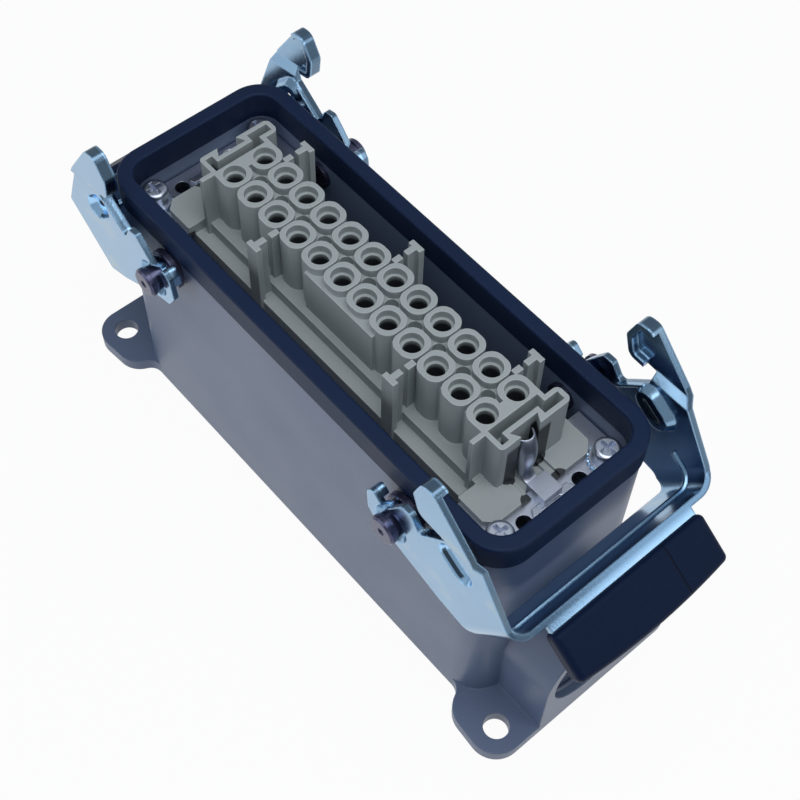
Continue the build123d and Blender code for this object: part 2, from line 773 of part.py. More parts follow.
def make_grip():
    """The moulded grip: a slightly bowed slab with a slot over the crossbar's lip."""
    with BuildPart() as grip:
        with BuildSketch(bar_plane(bar_high - sheet / 2 - grip_thickness / 2)):
            with BuildLine():
                edge = Polyline((grip_end, grip_half_y), (grip_start, grip_half_y),
                                (grip_start, -grip_half_y), (grip_end, -grip_half_y))
                ThreePointArc(edge @ 0, (grip_end + grip_bow, 0), edge @ 1)
            make_face()
        extrude(amount=grip_thickness)
        fillet(grip.edges(), grip_round)
        with BuildSketch(bar_plane(bar_high + grip_gap)):
            span(bar_inner, bar_inner + lip_reach + grip_gap, -lip_half_y - grip_gap, lip_half_y + grip_gap)
        extrude(amount=-sheet - 2 * grip_gap, mode=Mode.SUBTRACT)
    return grip.part


def at_pivot(piece, side):
    """Place a piece of a lever at its pivot; the far lever is mirrored and stands further open."""
    if side < 0:
        piece = piece.mirror(Plane.YZ).rotate(Axis.Y, -far_lever_opening)
    return piece.moved(Location((side * pivot_x, 0, pivot_z)))


save(make_housing(), "housing")
save(make_seal(), "rim_seal")
save(make_insert(), "insert_body")
for number, (x, y) in enumerate(contact_places, start=1):
    save(make_contact(x, y), f"contact_{number:02d}")
save(make_clamp_screws(), "terminal_screws")
save(make_earth_screws(), "earth_wire_screws")
save(make_captive_screws(), "captive_screws")
bow = make_bow()
grip = make_grip()
for side, end in ((1, "near"), (-1, "far")):
    save(make_earth_plate(side), f"earth_plate_{end}")
    save(make_earth_spring(side), f"earth_spring_{end}")
    save(make_earth_clamp(side), f"earth_clamp_{end}")
    save(at_pivot(bow, side), f"lever_{end}")
    save(at_pivot(grip, side), f"grip_{end}")
    for across, hand in ((-1, "front"), (1, "back")):
        save(make_pin(side, across), f"pivot_pin_{end}_{hand}")
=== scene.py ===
"""The looks of a heavy duty rectangular connector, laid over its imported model: a powder coated
housing with a rubber rim, a moulded insert, two zinc plated locking levers and their black grips."""

import json
import math

import bmesh
import bpy
from bpy.props import FloatProperty, FloatVectorProperty, IntProperty, PointerProperty
from mathutils import Matrix, Vector


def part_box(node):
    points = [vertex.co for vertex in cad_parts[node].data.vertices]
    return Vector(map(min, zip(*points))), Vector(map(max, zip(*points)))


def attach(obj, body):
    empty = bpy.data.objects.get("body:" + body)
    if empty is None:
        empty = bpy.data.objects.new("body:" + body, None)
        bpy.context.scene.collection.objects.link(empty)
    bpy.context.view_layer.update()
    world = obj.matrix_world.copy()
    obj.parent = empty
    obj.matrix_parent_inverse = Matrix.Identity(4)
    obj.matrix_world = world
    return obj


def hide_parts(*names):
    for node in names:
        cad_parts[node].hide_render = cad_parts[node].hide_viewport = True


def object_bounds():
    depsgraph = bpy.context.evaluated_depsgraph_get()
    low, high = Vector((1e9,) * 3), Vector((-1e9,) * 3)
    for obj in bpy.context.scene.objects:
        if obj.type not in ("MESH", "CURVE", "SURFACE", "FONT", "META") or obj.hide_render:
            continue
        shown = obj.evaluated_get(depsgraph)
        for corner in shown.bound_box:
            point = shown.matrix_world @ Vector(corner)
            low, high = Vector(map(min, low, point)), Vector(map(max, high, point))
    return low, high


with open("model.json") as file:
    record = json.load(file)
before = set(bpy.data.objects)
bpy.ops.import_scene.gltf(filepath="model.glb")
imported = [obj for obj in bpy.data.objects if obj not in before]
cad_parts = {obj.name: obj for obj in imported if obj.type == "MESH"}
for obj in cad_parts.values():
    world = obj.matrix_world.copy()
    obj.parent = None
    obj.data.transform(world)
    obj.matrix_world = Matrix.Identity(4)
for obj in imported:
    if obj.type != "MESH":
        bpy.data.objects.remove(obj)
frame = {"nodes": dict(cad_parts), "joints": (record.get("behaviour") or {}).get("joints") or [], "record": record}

bl_info = {
    "name": "Heavy duty rectangular connector",
    "version": (1, 0, 0),
    "blender": (4, 5, 0),
    "location": "View3D > Sidebar > Connector",
    "description": "Finishes and fine detail for a rectangular connector with two locking levers",
    "category": "Object",
}

CAD_LOW, CAD_HIGH = [Vector(corner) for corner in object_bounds()]
MM = 0.001

# The connector's two ends, and the way each one looks along X
ENDS = (("near", 1), ("far", -1))

# A lever's ways as it rests, in X and Z: out from its pivot, and up over it
FAR_LEAN = math.radians(11)
LEVER_WAYS = {
    "near": ((1, 0), (0, 1)),
    "far": ((-math.cos(FAR_LEAN), -math.sin(FAR_LEAN)), (-math.sin(FAR_LEAN), math.cos(FAR_LEAN))),
}
# On a lever, out from its pivot and up over it: the slot's middle, and the fold of crossbar and lip
SLOT_PLACE = (16.6 * MM, 8.9 * MM)
FOLD_PLACE = (31.83 * MM, 1.52 * MM)
# The slot's slope, and half the length of its middle line
SLOT_TURN = math.radians(-33.7)
SLOT_HALF = 2.15 * MM
# How far the pressed pocket and the slot's painted shade reach from that line, and the fold's painted shade from
# the fold
POCKET_REACH = 3.6 * MM
SLOT_REACH = 0.9 * MM
FOLD_REACH = 3.2 * MM
# The outer faces of a lever's arms, across from the object's middle
ARM_OUTER = 25.6 * MM
# Depths below those faces, as a range over which each mark sets in or goes out
POCKET_IN = (0.06 * MM, 0.16 * MM)
CUT_IN = (0.3 * MM, 0.42 * MM)
CUT_OUT = (0.95 * MM, 1.1 * MM)
SHEARED_IN = (-1.3 * MM, -1.2 * MM)
SHEARED_OUT = (1.1 * MM, 1.2 * MM)
# The same for the cut, along the slot from its middle
CUT_END = (2.9 * MM, 3.3 * MM)

# The contact bores: their step below the insert's top, the painted shade's reach from their axes, and its depth
BORE_STEP = 1.8 * MM
BORE_REACH = 1.9 * MM
BORE_IN = (0.1 * MM, 1.6 * MM)
# The riveted heads: the dimple's rim from the pin's axis, and the spacing of the turning marks
DIMPLE_RIM = (0.5 * MM, 0.9 * MM)
TURNING_PITCH = 0.35 * MM
# The grips' mould seam: its place across the object, and its half width from deep to level
SEAM_PLACE = 8.5 * MM
SEAM_SIDE = (0.06 * MM, 0.2 * MM)

# Painted shade of deep places, for the bores, slots, sheared edges, fold and dimples, and the seam's own dark, in
# linear numbers
BORE_PAINTED_SHADE = (0.006, 0.01, 0.016)
SLOT_PAINTED_SHADE = (0.01, 0.014, 0.02)
SHEARED_PAINTED_SHADE = (0.03, 0.05, 0.075)
FOLD_PAINTED_SHADE = (0.05, 0.1, 0.17)
DIMPLE_PAINTED_SHADE = (0.006, 0.008, 0.014)
SEAM_DARK = (0.001, 0.001, 0.002)

# The stage: each light's name, its place from the object's middle, its width, and its power's setting
LIGHTS = (("key_light", (0.12, -0.04, 0.55), 0.45, "key_power"),
          ("front_light", (-0.25, -0.60, 0.16), 0.5, "front_power"),
          ("back_light", (0.50, 0.35, 0.35), 0.3, "back_power"))
WHITE = (1, 1, 1)
PALE_LIGHT = (0.84, 0.92, 1.0)
PALE_REFLECTED = (0.9, 0.95, 1.0)
# How much of the floor's look is plain white, and the same white behind it
WHITE_SHOWN = 0.955
FLOOR_HALF = 3.0
FLOOR_GAP = 0.02 * MM
CAMERA_FRAME_MM = 36


def srgb(red, green, blue):
    """A colour given in display values from 0 to 255, as the shader's linear numbers."""
    linear = []
    for value in (red, green, blue):
        part = value / 255
        linear.append(part / 12.92 if part <= 0.04045 else ((part + 0.055) / 1.055) ** 2.4)
    return tuple(linear)


def scaled(tone, strength):
    """A tone at another strength, at most full white."""
    return [min(1, part * strength) for part in tone]


def nodes_named(*starts):
    """The frame's nodes whose names start with any of these words, in order."""
    return [frame["nodes"][name] for name in sorted(frame["nodes"]) if name.startswith(starts)]


def outermost(node):
    """How far a node of the frame stands out from the object's middle along X."""
    low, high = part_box(node)
    return max(abs(low.x), abs(high.x))


def finish_with(material, *starts):
    """Gives the frame's nodes with these names one material."""
    for obj in nodes_named(*starts):
        obj.data.materials.clear()
        obj.data.materials.append(material)
        for face in obj.data.polygons:
            face.material_index = 0


def strip_faces(rows, columns, closed=False):
    """The quads of a grid of points, row by row; a closed grid joins each row's end to its start."""
    faces = []
    for row in range(rows - 1):
        for column in range(columns if closed else columns - 1):
            after = (column + 1) % columns
            faces.append((row * columns + column, row * columns + after,
                          (row + 1) * columns + after, (row + 1) * columns + column))
    return faces


def new_piece(name, points, faces, material, replaced=(), smooth=True):
    """A piece of these points and faces, riding on the base."""
    mesh = bpy.data.meshes.new(name)
    mesh.from_pydata(points, [], faces)
    shape = bmesh.new()
    shape.from_mesh(mesh)
    bmesh.ops.recalc_face_normals(shape, faces=shape.faces)
    shape.to_mesh(mesh)
    shape.free()
    for face in mesh.polygons:
        face.use_smooth = smooth
    mesh.materials.append(material)
    piece = bpy.data.objects.new(name, mesh)
    bpy.context.scene.collection.objects.link(piece)
    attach(piece, "base")
    if replaced:
        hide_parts(*replaced)
    return piece


def colour(name, description, default):
    """A colour property."""
    return FloatVectorProperty(name=name, description=description, subtype="COLOR", size=3,
                               min=0, max=1, default=default)


def length(name, description, default):
    """A length property in metres."""
    return FloatProperty(name=name, description=description, subtype="DISTANCE", unit="LENGTH",
                         min=0, precision=5, default=default)


def angle(name, description, degrees):
    """An angle property, with its default given in degrees."""
    return FloatProperty(name=name, description=description, subtype="ANGLE", default=math.radians(degrees))


def light_strength(name, description, default):
    """A light's power or strength property."""
    return FloatProperty(name=name, description=description, min=0, default=default)


class StageSettings(bpy.types.PropertyGroup):
    """The camera and the light."""
    camera_azimuth: angle("Azimuth", "Where the camera stands round the object, 0 looking along +Y", 47.31)
    camera_elevation: angle("Elevation", "The camera's angle above the horizon", 56.99)
    camera_roll: angle("Roll", "The camera's turn about its own axis", 2.18)
    camera_place: FloatVectorProperty(name="Camera place", description="Where the camera stands", size=3,
                                      subtype="TRANSLATION", unit="LENGTH", default=(0.1283, -0.1092, 0.2876))
    camera_lens: FloatProperty(name="Lens", description="Focal length in millimetres, on a 36 mm wide frame",
                               min=10, default=65.5)
    floor_colour: colour("Floor", "Colour of the floor", (0.6, 0.63, 0.68))
    key_power: light_strength("Key light", "Power of the large light above", 1.75)
    front_power: light_strength("Front light", "Power of the low light before the long side", 0.95)
    back_power: light_strength("Back light", "Power of the light behind the entry end", 0.5)
    world_strength: light_strength("Surroundings", "Strength of the pale surroundings", 0.18)
    reflected_strength: light_strength("Surroundings in reflections",
                                       "Strength of the surroundings that polished metal shows", 0.45)


class DetailSettings(bpy.types.PropertyGroup):
    """Sizes of the fine detail."""
    thread_pitch: length("Entry thread pitch", "Pitch of the cable entry's thread", 1.5 * MM)
    thread_height: length("Entry thread height", "Height of the thread's ridge", 0.5 * MM)
    thread_length: length("Entry thread length", "How far the thread runs into the entry", 13 * MM)
    spring_sheet: length("Earth spring sheet", "Thickness of the earth spring's sheet", 0.35 * MM)
    spring_bulge: length("Earth spring bulge", "How far the earth spring's middle stands out", 0.825 * MM)
    bar_half_width: length("Earth tab half width", "Half the width of the tab's cross piece", 5.1 * MM)
    washer_teeth: IntProperty(name="Washer teeth", description="Teeth of each lock washer", min=6, default=14)
    washer_thickness: length("Washer thickness", "Thickness of each lock washer", 0.55 * MM)


class FinishSettings(bpy.types.PropertyGroup):
    """Colours of the finishes."""
    coat: colour("Powder coat", "Grey-blue powder coat of the housing", srgb(102, 118, 148))
    rubber: colour("Rubber", "Blue-black rubber of the rim seal", srgb(16, 30, 60))
    plastic: colour("Insert", "Pale grey plastic of the insert", srgb(168, 177, 180))
    zinc: colour("Zinc", "Bright bluish zinc plating", srgb(140, 175, 206))
    zinc_warm: colour("Zinc, warm", "Straw tint in the zinc plating", srgb(196, 196, 168))
    steel: colour("Pin steel", "Dark steel of the pivot pins", srgb(82, 84, 110))
    tin: colour("Tinned sheet", "Pale tinned sheet of the earth pieces", srgb(188, 196, 212))
    # The contacts' dark silver is tarnish, and painted shade for the deep bores they sit in
    silver: colour("Contact silver", "Tarnished silver plating of the contacts", srgb(64, 64, 64))
    grip: colour("Grip", "Blue-black plastic of the grips", srgb(6, 18, 48))


class Value:
    """A shader socket for use in expressions: each operator adds its Math node."""

    def __init__(self, owner, socket):
        self.owner = owner
        self.socket = socket

    def maths(self, operation, *others):
        """A Math node of this value and others."""
        return self.owner.node("ShaderNodeMath", {"operation": operation}, dict(enumerate((self, *others))))

    def __add__(self, other):
        return self.maths("ADD", other)

    __radd__ = __add__

    def __sub__(self, other):
        return self.maths("SUBTRACT", other)

    def __rsub__(self, other):
        return self.owner.node("ShaderNodeMath", {"operation": "SUBTRACT"}, {0: other, 1: self})

    def __mul__(self, other):
        return self.maths("MULTIPLY", other)

    __rmul__ = __mul__

    def clamp(self):
        """The value held between 0 and 1."""
        return self.owner.node("ShaderNodeClamp", {}, {0: self})

    def between(self, low, high):
        """0 below low, 1 above high, smooth between."""
        return self.owner.node("ShaderNodeMapRange", {"interpolation_type": "SMOOTHSTEP"},
                               {"Value": self, "From Min": low, "From Max": high})


def distance(first, second):
    """The length of a way that goes this far along one axis and this far along another."""
    return (first * first + second * second).maths("SQRT")


class NodeTree:
    """The nodes of a material or of the surroundings, emptied but for their output."""

    def __init__(self, holder, output):
        holder.use_nodes = True
        self.tree = holder.node_tree
        self.tree.nodes.clear()
        self.surface = self.tree.nodes.new(output).inputs["Surface"]

    def node(self, kind, settings, sockets=None, output=0):
        """A node of this kind, with its settings made first, then its sockets' values or links."""
        made = self.tree.nodes.new(kind)
        for key, value in settings.items():
            setattr(made, key, value)
        for key, value in (sockets or {}).items():
            self.join(made.inputs[key], value)
        return Value(self, made.outputs[output])

    def join(self, socket, value):
        """Links a value to a socket, or sets the socket to a number, a vector or a colour."""
        if isinstance(value, Value):
            self.tree.links.new(value.socket, socket)
        elif socket.type == "RGBA":
            socket.default_value = (*tuple(value)[:3], 1)
        else:
            socket.default_value = value


class Paint(NodeTree):
    """A material that ends in a Principled shader."""

    def __init__(self, name, **sockets):
        self.material = bpy.data.materials.new(name)
        super().__init__(self.material, "ShaderNodeOutputMaterial")
        self.shader = self.tree.nodes.new("ShaderNodeBsdfPrincipled")
        self.join(self.surface, self.coated())
        self.feed(**sockets)

    def coated(self):
        """The Principled shader's light."""
        return Value(self, self.shader.outputs[0])

    def feed(self, **sockets):
        """Values or links for the Principled shader, by socket name with _ for a space."""
        for key, value in sockets.items():
            self.join(self.shader.inputs[key.replace("_", " ").title().replace("Ior", "IOR")], value)

    def place(self):
        """The point of the surface in metres, in the object's own frame."""
        return self.node("ShaderNodeTexCoord", {}, {}, "Object")

    def face(self):
        """The way that the face looks, without its rounded edges."""
        return self.node("ShaderNodeNewGeometry", {}, {}, "Normal")

    def axis(self, name, vector=None):
        """One coordinate of a vector, or of the point in metres where none is given."""
        return self.node("ShaderNodeSeparateXYZ", {}, {"Vector": vector or self.place()}, name)

    def noise(self, scale, detail=2.0, roughness=0.5, stretch=None):
        """Noise of this many lumps to the metre, from about 0 to 1, stretched along axes if asked."""
        point = self.place()
        if stretch:
            point = self.node("ShaderNodeVectorMath", {"operation": "MULTIPLY"}, {0: point, 1: stretch})
        sockets = {"Vector": point, "Scale": scale, "Detail": detail, "Roughness": roughness}
        return self.node("ShaderNodeTexNoise", {}, sockets)

    def mix(self, factor, first, second):
        """A colour between two, by a factor. Sockets 6 and 7 are a Mix node's colours, and 2 its result."""
        return self.node("ShaderNodeMix", {"data_type": "RGBA"}, {0: factor, 6: first, 7: second}, 2)

    def shade(self, tone, low, high, factor):
        """A colour between two strengths of one tone, by a factor."""
        return self.mix(factor, scaled(tone, low), scaled(tone, high))

    def round_edges(self, radius):
        """Normals that round the sharp edges to a radius."""
        return self.node("ShaderNodeBevel", {"samples": 4}, {"Radius": radius})

    def relief(self, height, depth, edge):
        """A bump from a height of 0 to 1 and its depth in metres, over edges rounded to a radius."""
        sockets = {"Height": height, "Strength": 1.0, "Distance": depth, "Normal": self.round_edges(edge)}
        self.feed(normal=self.node("ShaderNodeBump", {}, sockets))

    def edges(self, radius):
        """1 on sharp edges, falling to 0 on flat faces, for edges rounded to a radius."""
        alike = self.node("ShaderNodeVectorMath", {"operation": "DOT_PRODUCT"},
                          {0: self.face(), 1: self.round_edges(radius)}, "Value")
        return (1 - alike).between(0.01, 0.12)

    def facing_across(self):
        """How far the face looks across the object along Y: 1 out from its middle, -1 towards it."""
        return self.axis("Y", self.face()) * self.axis("Y").maths("SIGN")

    def beside_pivots(self, pivot):
        """Distance in metres from the nearer of the pivots' axes, which run along Y."""
        return distance(self.axis("X").maths("ABSOLUTE") - abs(pivot[0]), self.axis("Z") - pivot[2])

    def in_bores(self, first, pitch):
        """1 inside the contact bores, in two rows that start at this first one, 0 outside them."""
        along = (self.axis("X") - first[0] + pitch / 2).maths("FLOORED_MODULO", pitch) - pitch / 2
        beside = self.axis("Y").maths("ABSOLUTE") - abs(first[1])
        return 1 - distance(along, beside).between(BORE_REACH * 0.98, BORE_REACH)

    def lever_place(self, lever, centre):
        """How far the point lies out and up from a place on a lever, in metres."""
        pivot, out, up = lever
        x, z = self.axis("X") - pivot[0], self.axis("Z") - pivot[2]
        return x * out[0] + z * out[1] - centre[0], x * up[0] + z * up[1] - centre[1]

    def slot_place(self, lever):
        """How far the point lies from the middle of a lever's slot, along its slope and beside it."""
        out, up = self.lever_place(lever, SLOT_PLACE)
        run, rise = math.cos(SLOT_TURN), math.sin(SLOT_TURN)
        return (out * run + up * rise).maths("ABSOLUTE"), up * run - out * rise

    def near_slot(self, lever, reach):
        """1 at the slot of a lever, 0 beyond a reach."""
        along, beside = self.slot_place(lever)
        past = (along - SLOT_HALF).maths("MAXIMUM", 0.0)
        return 1 - distance(past, beside).between(reach * 0.85, reach)

    def near_fold(self, lever):
        """1 at the fold between a lever's crossbar and its lip, 0 beyond its reach."""
        return 1 - distance(*self.lever_place(lever, FOLD_PLACE)).between(FOLD_REACH * 0.2, FOLD_REACH)

    def rays_seen(self):
        """1 for the rays of the camera, of reflections and through glass, 0 for the light itself."""
        camera, glossy, through = [self.node("ShaderNodeLightPath", {}, {}, f"Is {kind} Ray")
                                   for kind in ("Camera", "Glossy", "Transmission")]
        return (camera + glossy + through).clamp()


def powder_coat(name, tone, strength=1.0):
    """Powder coat on a die casting: fine orange peel, slight clouding and rubbed edges."""
    paint = Paint(name)
    clouds = paint.noise(60, 3)
    grain = paint.noise(2600)
    rubbed = paint.edges(0.5 * MM) * paint.noise(420, 3).between(0.42, 0.62)
    coat = paint.shade(tone, 0.88 * strength, 1.08 * strength, clouds * 0.6 + grain * 0.4)
    coat = paint.mix(rubbed * 0.45, coat, scaled(tone, 1.7))
    paint.feed(base_color=coat, roughness=0.33 + clouds * 0.14)
    paint.relief(grain * 0.6 + paint.noise(900) * 0.4, 0.06 * MM, 0.5 * MM)
    return paint.material


def seal_rubber(tone):
    """Moulded rubber with a soft bloom."""
    paint = Paint("seal_rubber", specular_ior_level=0.3, specular_tint=(0.55, 0.75, 1.0))
    bloom = paint.noise(45, 4, 0.6)
    paint.feed(base_color=paint.shade(tone, 0.85, 1.35, bloom), roughness=0.46 + bloom * 0.16)
    paint.relief(paint.noise(1500), 0.03 * MM, 0.3 * MM)
    return paint.material


def insert_plastic(tone, first, pitch, step):
    """Glass filled plastic: pale, matt, faint flow marks, painted edge highlights, painted shade below the bores'
    step.
    """
    paint = Paint("insert_plastic", specular_ior_level=0.4, subsurface_weight=0.06,
                  subsurface_radius=(0.4, 0.4, 0.35), subsurface_scale=0.5 * MM)
    flow = paint.noise(110, 3, 0.55, (1, 1, 0.3))
    body = paint.shade(tone, 0.93, 1.04, flow)
    # Painted highlight: the sharp edges of the plastic are lightened
    body = paint.mix(paint.edges(0.4 * MM) * 0.8, body, scaled(tone, 1.6))
    # Painted shade: the bores darken below their step, where little light reaches
    bore_shade = paint.in_bores(first, pitch) * (step - paint.axis("Z")).between(*BORE_IN)
    body = paint.mix(bore_shade * 0.94, body, BORE_PAINTED_SHADE)
    paint.feed(base_color=body, roughness=0.36 + flow * 0.14)
    paint.relief(paint.noise(2200), 0.02 * MM, 0.3 * MM)
    return paint.material


def zinc_plate(name, tone, warm, rough, edge, lever=None):
    """Bright zinc over pressed metal: bluish, straw tints, painted edge highlights, and a lever's painted light
    and shade.
    """
    paint = Paint(name, metallic=1.0)
    cloud = paint.noise(70, 3, 0.55)
    tint = paint.noise(140).between(0.55, 0.8)
    fine = paint.noise(1700, 3)
    edges = paint.edges(edge)
    zinc = paint.mix(tint * 0.25, paint.shade(tone, 0.86, 1.06, cloud), warm)
    # Painted highlight: the sharp edges of the zinc are lightened
    zinc = paint.mix(edges * 0.8, zinc, scaled(tone, 1.45))
    if lever:
        zinc = lever_light_and_shade(paint, zinc, tone, edges, lever)
    paint.feed(base_color=zinc, roughness=(rough + cloud * 0.08 + fine * 0.05).clamp())
    paint.relief(cloud * 0.7 + fine * 0.3, 0.03 * MM, edge)
    return paint.material


def lever_light_and_shade(paint, zinc, tone, edges, lever):
    """A lever's zinc with painted light on its pressed pockets and painted shade on its slots, sheared edges and
    fold.
    """
    outward = paint.facing_across()
    depth = ARM_OUTER - paint.axis("Y").maths("ABSOLUTE")
    along = paint.slot_place(lever)[0]
    pocket = paint.near_slot(lever, POCKET_REACH) * outward.between(0.0, 0.05) * depth.between(*POCKET_IN)
    cut = pocket * depth.between(*CUT_IN) * (1 - depth.between(*CUT_OUT)) * (1 - along.between(*CUT_END))
    slot = cut.maths("MAXIMUM", paint.near_slot(lever, SLOT_REACH))
    sheared = depth.between(*SHEARED_IN) * (1 - depth.between(*SHEARED_OUT))
    sheared = sheared * (1 - outward.maths("ABSOLUTE").between(0.25, 0.45)) * (1 - edges)
    # Painted light: the walls of the pressed pocket are lightened to cancel their shade
    zinc = paint.mix(pocket, zinc, scaled(tone, 1.55))
    # Painted shade on the sheared edges of the arms
    zinc = paint.mix(sheared * 0.6, zinc, SHEARED_PAINTED_SHADE)
    # Painted shade: the lip is darkened near its fold with the crossbar
    zinc = paint.mix(paint.near_fold(lever) * 0.7, zinc, FOLD_PAINTED_SHADE)
    # Painted shade: the slot and its cut are darkened
    return paint.mix(slot * 0.88, zinc, SLOT_PAINTED_SHADE)


def brushed_tin(tone):
    """Tinned sheet with rolling scratches along the plate, and painted highlights on its edges."""
    paint = Paint("tinned_sheet", metallic=1.0)
    lines = paint.noise(6000, stretch=(1, 0.03, 1))
    tin = paint.shade(tone, 0.84, 1.1, lines * 0.5 + paint.noise(160, 3) * 0.5)
    # Painted highlight: the tin's edges are lightened
    tin = paint.mix(paint.edges(0.15 * MM) * 0.7, tin, scaled(tone, 1.3))
    paint.feed(base_color=tin, roughness=0.24 + lines * 0.12)
    paint.relief(lines, 0.004 * MM, 0.15 * MM)
    return paint.material


def dark_steel(tone, pivot):
    """Oiled dark steel: turning marks, painted edge highlights, and a dimple with painted shade in each riveted
    head.
    """
    paint = Paint("pin_steel", metallic=0.9)
    marks = paint.noise(900, 3, 0.6, (1, 0.15, 1))
    beside = paint.beside_pivots(pivot)
    dimple_and_shade = 1 - beside.between(*DIMPLE_RIM)
    rings = (beside * (math.tau / TURNING_PITCH)).maths("SINE") * 0.5 + 0.5
    steel = paint.shade(tone, 0.7, 1.15, marks)
    # Painted highlight: the steel's edges are lightened
    steel = paint.mix(paint.edges(0.2 * MM) * 0.6, steel, scaled(tone, 1.7))
    # Painted shade: the dimple in each head is darkened
    steel = paint.mix(dimple_and_shade * 0.85, steel, DIMPLE_PAINTED_SHADE)
    paint.feed(base_color=steel, roughness=0.2 + marks * 0.14)
    paint.relief(marks * 0.5 + rings * 0.12 - dimple_and_shade, 0.08 * MM, 0.2 * MM)
    return paint.material


def grip_plastic(tone):
    """Blue-black moulded plastic with a fine spark texture and a mould seam across it."""
    paint = Paint("grip_plastic", specular_ior_level=0.2, specular_tint=(0.5, 0.75, 1.0))
    cloud = paint.noise(60, 3)
    spark = paint.noise(2400)
    seam = 1 - (paint.axis("Y") - SEAM_PLACE).maths("ABSOLUTE").between(*SEAM_SIDE)
    grip = paint.shade(tone, 0.85, 1.2, cloud * 0.5 + spark * 0.5)
    grip = paint.mix(seam * 0.9, grip, SEAM_DARK)
    paint.feed(base_color=grip, roughness=0.44 + cloud * 0.12)
    paint.relief(spark * 0.4 - seam, 0.12 * MM, 0.35 * MM)
    return paint.material


class CONNECTOR_OT_stage(bpy.types.Operator):
    """Makes the camera, the pale floor, the surroundings and the soft lights"""
    bl_idname = "connector.stage"
    bl_label = "Stage"

    def execute(self, context):
        settings = context.scene.connector_stage
        self.make_camera(context, settings)
        self.make_floor(context, settings)
        self.make_surroundings(context, settings)
        middle = (CAD_LOW + CAD_HIGH) / 2
        for name, offset, size, power in LIGHTS:
            self.make_light(context, name, middle + Vector(offset), middle, size, getattr(settings, power))
        context.scene.view_settings.view_transform = "Standard"
        return {"FINISHED"}

    def make_camera(self, context, settings):
        """The camera at the photograph's place and angle."""
        turn, rise, roll = settings.camera_azimuth, settings.camera_elevation, settings.camera_roll
        level = Vector((math.cos(turn), math.sin(turn), 0))
        back = Vector((math.sin(turn) * math.cos(rise), -math.cos(turn) * math.cos(rise), math.sin(rise)))
        right = level * math.cos(roll) + back.cross(level) * math.sin(roll)
        camera = bpy.data.cameras.new("camera")
        camera.lens = settings.camera_lens
        camera.sensor_width = CAMERA_FRAME_MM
        camera.clip_start = 10 * MM
        obj = bpy.data.objects.new("camera", camera)
        context.scene.collection.objects.link(obj)
        axes = Matrix((right, back.cross(right), back)).transposed()
        obj.matrix_world = Matrix.Translation(settings.camera_place) @ axes.to_4x4()
        context.scene.camera = obj

    def make_floor(self, context, settings):
        """A wide pale floor that looks white to the camera away from shadows."""
        mesh = bpy.data.meshes.new("floor")
        corners = [(x * FLOOR_HALF, y * FLOOR_HALF, 0) for x, y in ((-1, -1), (1, -1), (1, 1), (-1, 1))]
        mesh.from_pydata(corners, [], [(0, 1, 2, 3)])
        floor = bpy.data.objects.new("floor", mesh)
        context.scene.collection.objects.link(floor)
        floor.location.z = CAD_LOW.z - FLOOR_GAP
        paint = Paint("floor", base_color=settings.floor_colour, roughness=0.8, specular_ior_level=0.1)
        glow = paint.node("ShaderNodeEmission", {}, {"Color": WHITE, "Strength": 1.0})
        factor = paint.rays_seen() * WHITE_SHOWN
        shown = paint.node("ShaderNodeMixShader", {}, {0: factor, 1: paint.coated(), 2: glow})
        paint.join(paint.surface, shown)
        mesh.materials.append(paint.material)

    def make_surroundings(self, context, settings):
        """Pale light from all round, seen as white by the camera and brighter in reflections."""
        world = bpy.data.worlds.new("surroundings")
        context.scene.world = world
        sky = NodeTree(world, "ShaderNodeOutputWorld")
        lights = ((PALE_LIGHT, settings.world_strength), (PALE_REFLECTED, settings.reflected_strength),
                  (WHITE, WHITE_SHOWN))
        shown, reflected, white = [sky.node("ShaderNodeBackground", {}, {"Color": tone, "Strength": power})
                                   for tone, power in lights]
        for kind, seen in (("Glossy", reflected), ("Transmission", reflected), ("Camera", white)):
            ray = sky.node("ShaderNodeLightPath", {}, {}, f"Is {kind} Ray")
            shown = sky.node("ShaderNodeMixShader", {}, {0: ray, 1: shown, 2: seen})
        sky.join(sky.surface, shown)

    def make_light(self, context, name, place, target, size, power):
        """A square soft light that looks at a target."""
        light = bpy.data.lights.new(name, "AREA")
        light.size = size
        light.energy = power
        obj = bpy.data.objects.new(name, light)
        context.scene.collection.objects.link(obj)
        obj.location = place
        obj.rotation_euler = (place - target).to_track_quat("Z", "Y").to_euler()


class CONNECTOR_OT_housing(bpy.types.Operator):
    """Finishes the housing in powder coat"""
    bl_idname = "connector.housing"
    bl_label = "Housing"

    def execute(self, context):
        finish_with(powder_coat("powder_coat", context.scene.connector_finish.coat), "housing")
        return {"FINISHED"}


